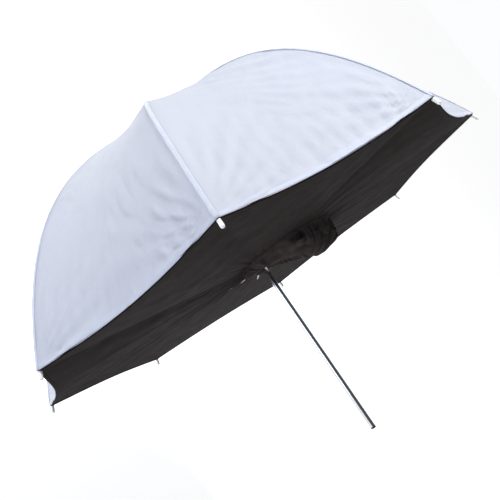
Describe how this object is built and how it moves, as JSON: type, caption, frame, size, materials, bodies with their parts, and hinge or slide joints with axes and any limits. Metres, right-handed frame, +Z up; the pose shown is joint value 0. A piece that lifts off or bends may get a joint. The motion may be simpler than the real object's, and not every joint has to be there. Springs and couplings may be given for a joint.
{
  "type": "umbrella reflector",
  "caption": "Folding studio umbrella: white translucent dome over steel ribs, black cover across the open side with an elastic sleeve, on a chrome shaft.",
  "frame": {"origin": "centre of the flat end face of the shaft, at the end that a stand's umbrella holder clamps", "axes": "+Y along the shaft from its clamped end to the crown of the dome, +Z up through the middle of a gore, the open side with the black cover faces -Y"},
  "size_m": [0.7388, 0.6005, 0.7388],
  "materials": {
    "chrome_tube": "bright plated tube",
    "chrome_rib": "bright plated channel",
    "steel_wire": "plain drawn wire and sheet",
    "black_plastic": "moulded, slightly glossy",
    "white_plastic": "moulded, satin",
    "white_nylon": "thin translucent woven nylon with a slight sheen",
    "black_nylon": "opaque coated woven nylon",
    "black_elastic": "covered elastic cord"
  },
  "bodies": {
    "shaft": {"shaft": "chrome_tube", "shaft_end_cap": "black_plastic", "stop_pin": "steel_wire", "crown": "black_plastic", "crown_wire": "steel_wire", "canopy_rosette": "white_nylon", "top_cap": "white_plastic"},
    "runner": {"runner": "black_plastic", "runner_wire": "steel_wire"},
    "catch": {"catch": "steel_wire"},
    "rib_1": {"rib_1": "chrome_rib", "rib_tip_1": "white_plastic", "rivet_1": "steel_wire", "canopy_panel_1": "white_nylon"},
    "stretcher_1": {"stretcher_1": "chrome_rib"},
    "cover_1": {"cover_panel_1": "black_nylon"},
    "rib_2": {"rib_2": "chrome_rib", "rib_tip_2": "white_plastic", "rivet_2": "steel_wire", "canopy_panel_2": "white_nylon"},
    "stretcher_2": {"stretcher_2": "chrome_rib"},
    "cover_2": {"cover_panel_2": "black_nylon"},
    "rib_3": {"rib_3": "chrome_rib", "rib_tip_3": "white_plastic", "rivet_3": "steel_wire", "canopy_panel_3": "white_nylon"},
    "stretcher_3": {"stretcher_3": "chrome_rib"},
    "cover_3": {"cover_panel_3": "black_nylon"},
    "rib_4": {"rib_4": "chrome_rib", "rib_tip_4": "white_plastic", "rivet_4": "steel_wire", "canopy_panel_4": "white_nylon"},
    "stretcher_4": {"stretcher_4": "chrome_rib"},
    "cover_4": {"cover_panel_4": "black_nylon"},
    "rib_5": {"rib_5": "chrome_rib", "rib_tip_5": "white_plastic", "rivet_5": "steel_wire", "canopy_panel_5": "white_nylon"},
    "stretcher_5": {"stretcher_5": "chrome_rib"},
    "cover_5": {"cover_panel_5": "black_nylon"},
    "rib_6": {"rib_6": "chrome_rib", "rib_tip_6": "white_plastic", "rivet_6": "steel_wire", "canopy_panel_6": "white_nylon"},
    "stretcher_6": {"stretcher_6": "chrome_rib"},
    "cover_6": {"cover_panel_6": "black_nylon"},
    "rib_7": {"rib_7": "chrome_rib", "rib_tip_7": "white_plastic", "rivet_7": "steel_wire", "canopy_panel_7": "white_nylon"},
    "stretcher_7": {"stretcher_7": "chrome_rib"},
    "cover_7": {"cover_panel_7": "black_nylon"},
    "rib_8": {"rib_8": "chrome_rib", "rib_tip_8": "white_plastic", "rivet_8": "steel_wire", "canopy_panel_8": "white_nylon"},
    "stretcher_8": {"stretcher_8": "chrome_rib"},
    "cover_8": {"cover_panel_8": "black_nylon"},
    "sleeve": {"cover_sleeve": "black_nylon", "sleeve_elastic": "black_elastic"}
  },
  "joints": [
    {"name": "runner_slide", "type": "slide", "parent": "shaft", "child": "runner", "axis": [0, -1, 0], "range_m": [0, 0.27159]},
    {"name": "catch_press", "type": "slide", "parent": "shaft", "child": "catch", "axis": [-1, 0, 0], "range_m": [0, 0.002], "stiffness_N_per_m": 300, "springref_m": -0.0005},
    {"name": "rib_1_pivot", "type": "hinge", "parent": "shaft", "child": "rib_1", "pos_m": [0.00924, 0.5821, 0.00383], "axis": [0.3827, 0, -0.9239], "range_deg": [0, 48.05], "deforming": ["canopy_panel_1"]},
    {"name": "stretcher_1_pivot", "type": "hinge", "parent": "rib_1", "child": "stretcher_1", "pos_m": [0.20578, 0.51471, 0.08524], "axis": [0.3827, 0, -0.9239], "range_deg": [-96.1, 0]},
    {"name": "cover_1_fold", "type": "hinge", "parent": "rib_1", "child": "cover_1", "pos_m": [0.36447, 0.29436, 0.15097], "axis": [0.3827, 0, -0.9239], "range_deg": [0, 40.05], "deforming": ["cover_panel_1"]},
    {"name": "rib_2_pivot", "type": "hinge", "parent": "shaft", "child": "rib_2", "pos_m": [0.00383, 0.5821, 0.00924], "axis": [0.9239, 0, -0.3827], "range_deg": [0, 48.05], "deforming": ["canopy_panel_2"]},
    {"name": "stretcher_2_pivot", "type": "hinge", "parent": "rib_2", "child": "stretcher_2", "pos_m": [0.08524, 0.51471, 0.20578], "axis": [0.9239, 0, -0.3827], "range_deg": [-96.1, 0]},
    {"name": "cover_2_fold", "type": "hinge", "parent": "rib_2", "child": "cover_2", "pos_m": [0.15097, 0.29436, 0.36447], "axis": [0.9239, 0, -0.3827], "range_deg": [0, 40.05], "deforming": ["cover_panel_2"]},
    {"name": "rib_3_pivot", "type": "hinge", "parent": "shaft", "child": "rib_3", "pos_m": [-0.00383, 0.5821, 0.00924], "axis": [0.9239, 0, 0.3827], "range_deg": [0, 48.05], "deforming": ["canopy_panel_3"]},
    {"name": "stretcher_3_pivot", "type": "hinge", "parent": "rib_3", "child": "stretcher_3", "pos_m": [-0.08524, 0.51471, 0.20578], "axis": [0.9239, 0, 0.3827], "range_deg": [-96.1, 0]},
    {"name": "cover_3_fold", "type": "hinge", "parent": "rib_3", "child": "cover_3", "pos_m": [-0.15097, 0.29436, 0.36447], "axis": [0.9239, 0, 0.3827], "range_deg": [0, 40.05], "deforming": ["cover_panel_3"]},
    {"name": "rib_4_pivot", "type": "hinge", "parent": "shaft", "child": "rib_4", "pos_m": [-0.00924, 0.5821, 0.00383], "axis": [0.3827, 0, 0.9239], "range_deg": [0, 48.05], "deforming": ["canopy_panel_4"]},
    {"name": "stretcher_4_pivot", "type": "hinge", "parent": "rib_4", "child": "stretcher_4", "pos_m": [-0.20578, 0.51471, 0.08524], "axis": [0.3827, 0, 0.9239], "range_deg": [-96.1, 0]},
    {"name": "cover_4_fold", "type": "hinge", "parent": "rib_4", "child": "cover_4", "pos_m": [-0.36447, 0.29436, 0.15097], "axis": [0.3827, 0, 0.9239], "range_deg": [0, 40.05], "deforming": ["cover_panel_4"]},
    {"name": "rib_5_pivot", "type": "hinge", "parent": "shaft", "child": "rib_5", "pos_m": [-0.00924, 0.5821, -0.00383], "axis": [-0.3827, 0, 0.9239], "range_deg": [0, 48.05], "deforming": ["canopy_panel_5"]},
    {"name": "stretcher_5_pivot", "type": "hinge", "parent": "rib_5", "child": "stretcher_5", "pos_m": [-0.20578, 0.51471, -0.08524], "axis": [-0.3827, 0, 0.9239], "range_deg": [-96.1, 0]},
    {"name": "cover_5_fold", "type": "hinge", "parent": "rib_5", "child": "cover_5", "pos_m": [-0.36447, 0.29436, -0.15097], "axis": [-0.3827, 0, 0.9239], "range_deg": [0, 40.05], "deforming": ["cover_panel_5"]},
    {"name": "rib_6_pivot", "type": "hinge", "parent": "shaft", "child": "rib_6", "pos_m": [-0.00383, 0.5821, -0.00924], "axis": [-0.9239, 0, 0.3827], "range_deg": [0, 48.05], "deforming": ["canopy_panel_6"]},
    {"name": "stretcher_6_pivot", "type": "hinge", "parent": "rib_6", "child": "stretcher_6", "pos_m": [-0.08524, 0.51471, -0.20578], "axis": [-0.9239, 0, 0.3827], "range_deg": [-96.1, 0]},
    {"name": "cover_6_fold", "type": "hinge", "parent": "rib_6", "child": "cover_6", "pos_m": [-0.15097, 0.29436, -0.36447], "axis": [-0.9239, 0, 0.3827], "range_deg": [0, 40.05], "deforming": ["cover_panel_6"]},
    {"name": "rib_7_pivot", "type": "hinge", "parent": "shaft", "child": "rib_7", "pos_m": [0.00383, 0.5821, -0.00924], "axis": [-0.9239, 0, -0.3827], "range_deg": [0, 48.05], "deforming": ["canopy_panel_7"]},
    {"name": "stretcher_7_pivot", "type": "hinge", "parent": "rib_7", "child": "stretcher_7", "pos_m": [0.08524, 0.51471, -0.20578], "axis": [-0.9239, 0, -0.3827], "range_deg": [-96.1, 0]},
    {"name": "cover_7_fold", "type": "hinge", "parent": "rib_7", "child": "cover_7", "pos_m": [0.15097, 0.29436, -0.36447], "axis": [-0.9239, 0, -0.3827], "range_deg": [0, 40.05], "deforming": ["cover_panel_7"]},
    {"name": "rib_8_pivot", "type": "hinge", "parent": "shaft", "child": "rib_8", "pos_m": [0.00924, 0.5821, -0.00383], "axis": [-0.3827, 0, -0.9239], "range_deg": [0, 48.05], "deforming": ["canopy_panel_8"]},
    {"name": "stretcher_8_pivot", "type": "hinge", "parent": "rib_8", "child": "stretcher_8", "pos_m": [0.20578, 0.51471, -0.08524], "axis": [-0.3827, 0, -0.9239], "range_deg": [-96.1, 0]},
    {"name": "cover_8_fold", "type": "hinge", "parent": "rib_8", "child": "cover_8", "pos_m": [0.36447, 0.29436, -0.15097], "axis": [-0.3827, 0, -0.9239], "range_deg": [0, 40.05], "deforming": ["cover_panel_8"]},
    {"name": "sleeve_slide", "type": "slide", "parent": "shaft", "child": "sleeve", "axis": [0, -1, 0], "range_m": [0, 0.2001], "deforming": ["cover_sleeve", "sleeve_elastic"]}
  ],
  "couplings": [
    {"joint": "rib_1_pivot", "follows": "runner_slide", "rad_per_m": 3.0847},
    {"joint": "stretcher_1_pivot", "follows": "runner_slide", "rad_per_m": -6.1694},
    {"joint": "cover_1_fold", "follows": "runner_slide", "rad_per_m": 2.5706},
    {"joint": "rib_2_pivot", "follows": "runner_slide", "rad_per_m": 3.0847},
    {"joint": "stretcher_2_pivot", "follows": "runner_slide", "rad_per_m": -6.1694},
    {"joint": "cover_2_fold", "follows": "runner_slide", "rad_per_m": 2.5706},
    {"joint": "rib_3_pivot", "follows": "runner_slide", "rad_per_m": 3.0847},
    {"joint": "stretcher_3_pivot", "follows": "runner_slide", "rad_per_m": -6.1694},
    {"joint": "cover_3_fold", "follows": "runner_slide", "rad_per_m": 2.5706},
    {"joint": "rib_4_pivot", "follows": "runner_slide", "rad_per_m": 3.0847},
    {"joint": "stretcher_4_pivot", "follows": "runner_slide", "rad_per_m": -6.1694},
    {"joint": "cover_4_fold", "follows": "runner_slide", "rad_per_m": 2.5706},
    {"joint": "rib_5_pivot", "follows": "runner_slide", "rad_per_m": 3.0847},
    {"joint": "stretcher_5_pivot", "follows": "runner_slide", "rad_per_m": -6.1694},
    {"joint": "cover_5_fold", "follows": "runner_slide", "rad_per_m": 2.5706},
    {"joint": "rib_6_pivot", "follows": "runner_slide", "rad_per_m": 3.0847},
    {"joint": "stretcher_6_pivot", "follows": "runner_slide", "rad_per_m": -6.1694},
    {"joint": "cover_6_fold", "follows": "runner_slide", "rad_per_m": 2.5706},
    {"joint": "rib_7_pivot", "follows": "runner_slide", "rad_per_m": 3.0847},
    {"joint": "stretcher_7_pivot", "follows": "runner_slide", "rad_per_m": -6.1694},
    {"joint": "cover_7_fold", "follows": "runner_slide", "rad_per_m": 2.5706},
    {"joint": "rib_8_pivot", "follows": "runner_slide", "rad_per_m": 3.0847},
    {"joint": "stretcher_8_pivot", "follows": "runner_slide", "rad_per_m": -6.1694},
    {"joint": "cover_8_fold", "follows": "runner_slide", "rad_per_m": 2.5706},
    {"joint": "sleeve_slide", "follows": "runner_slide", "ratio": 0.73642}
  ]
}
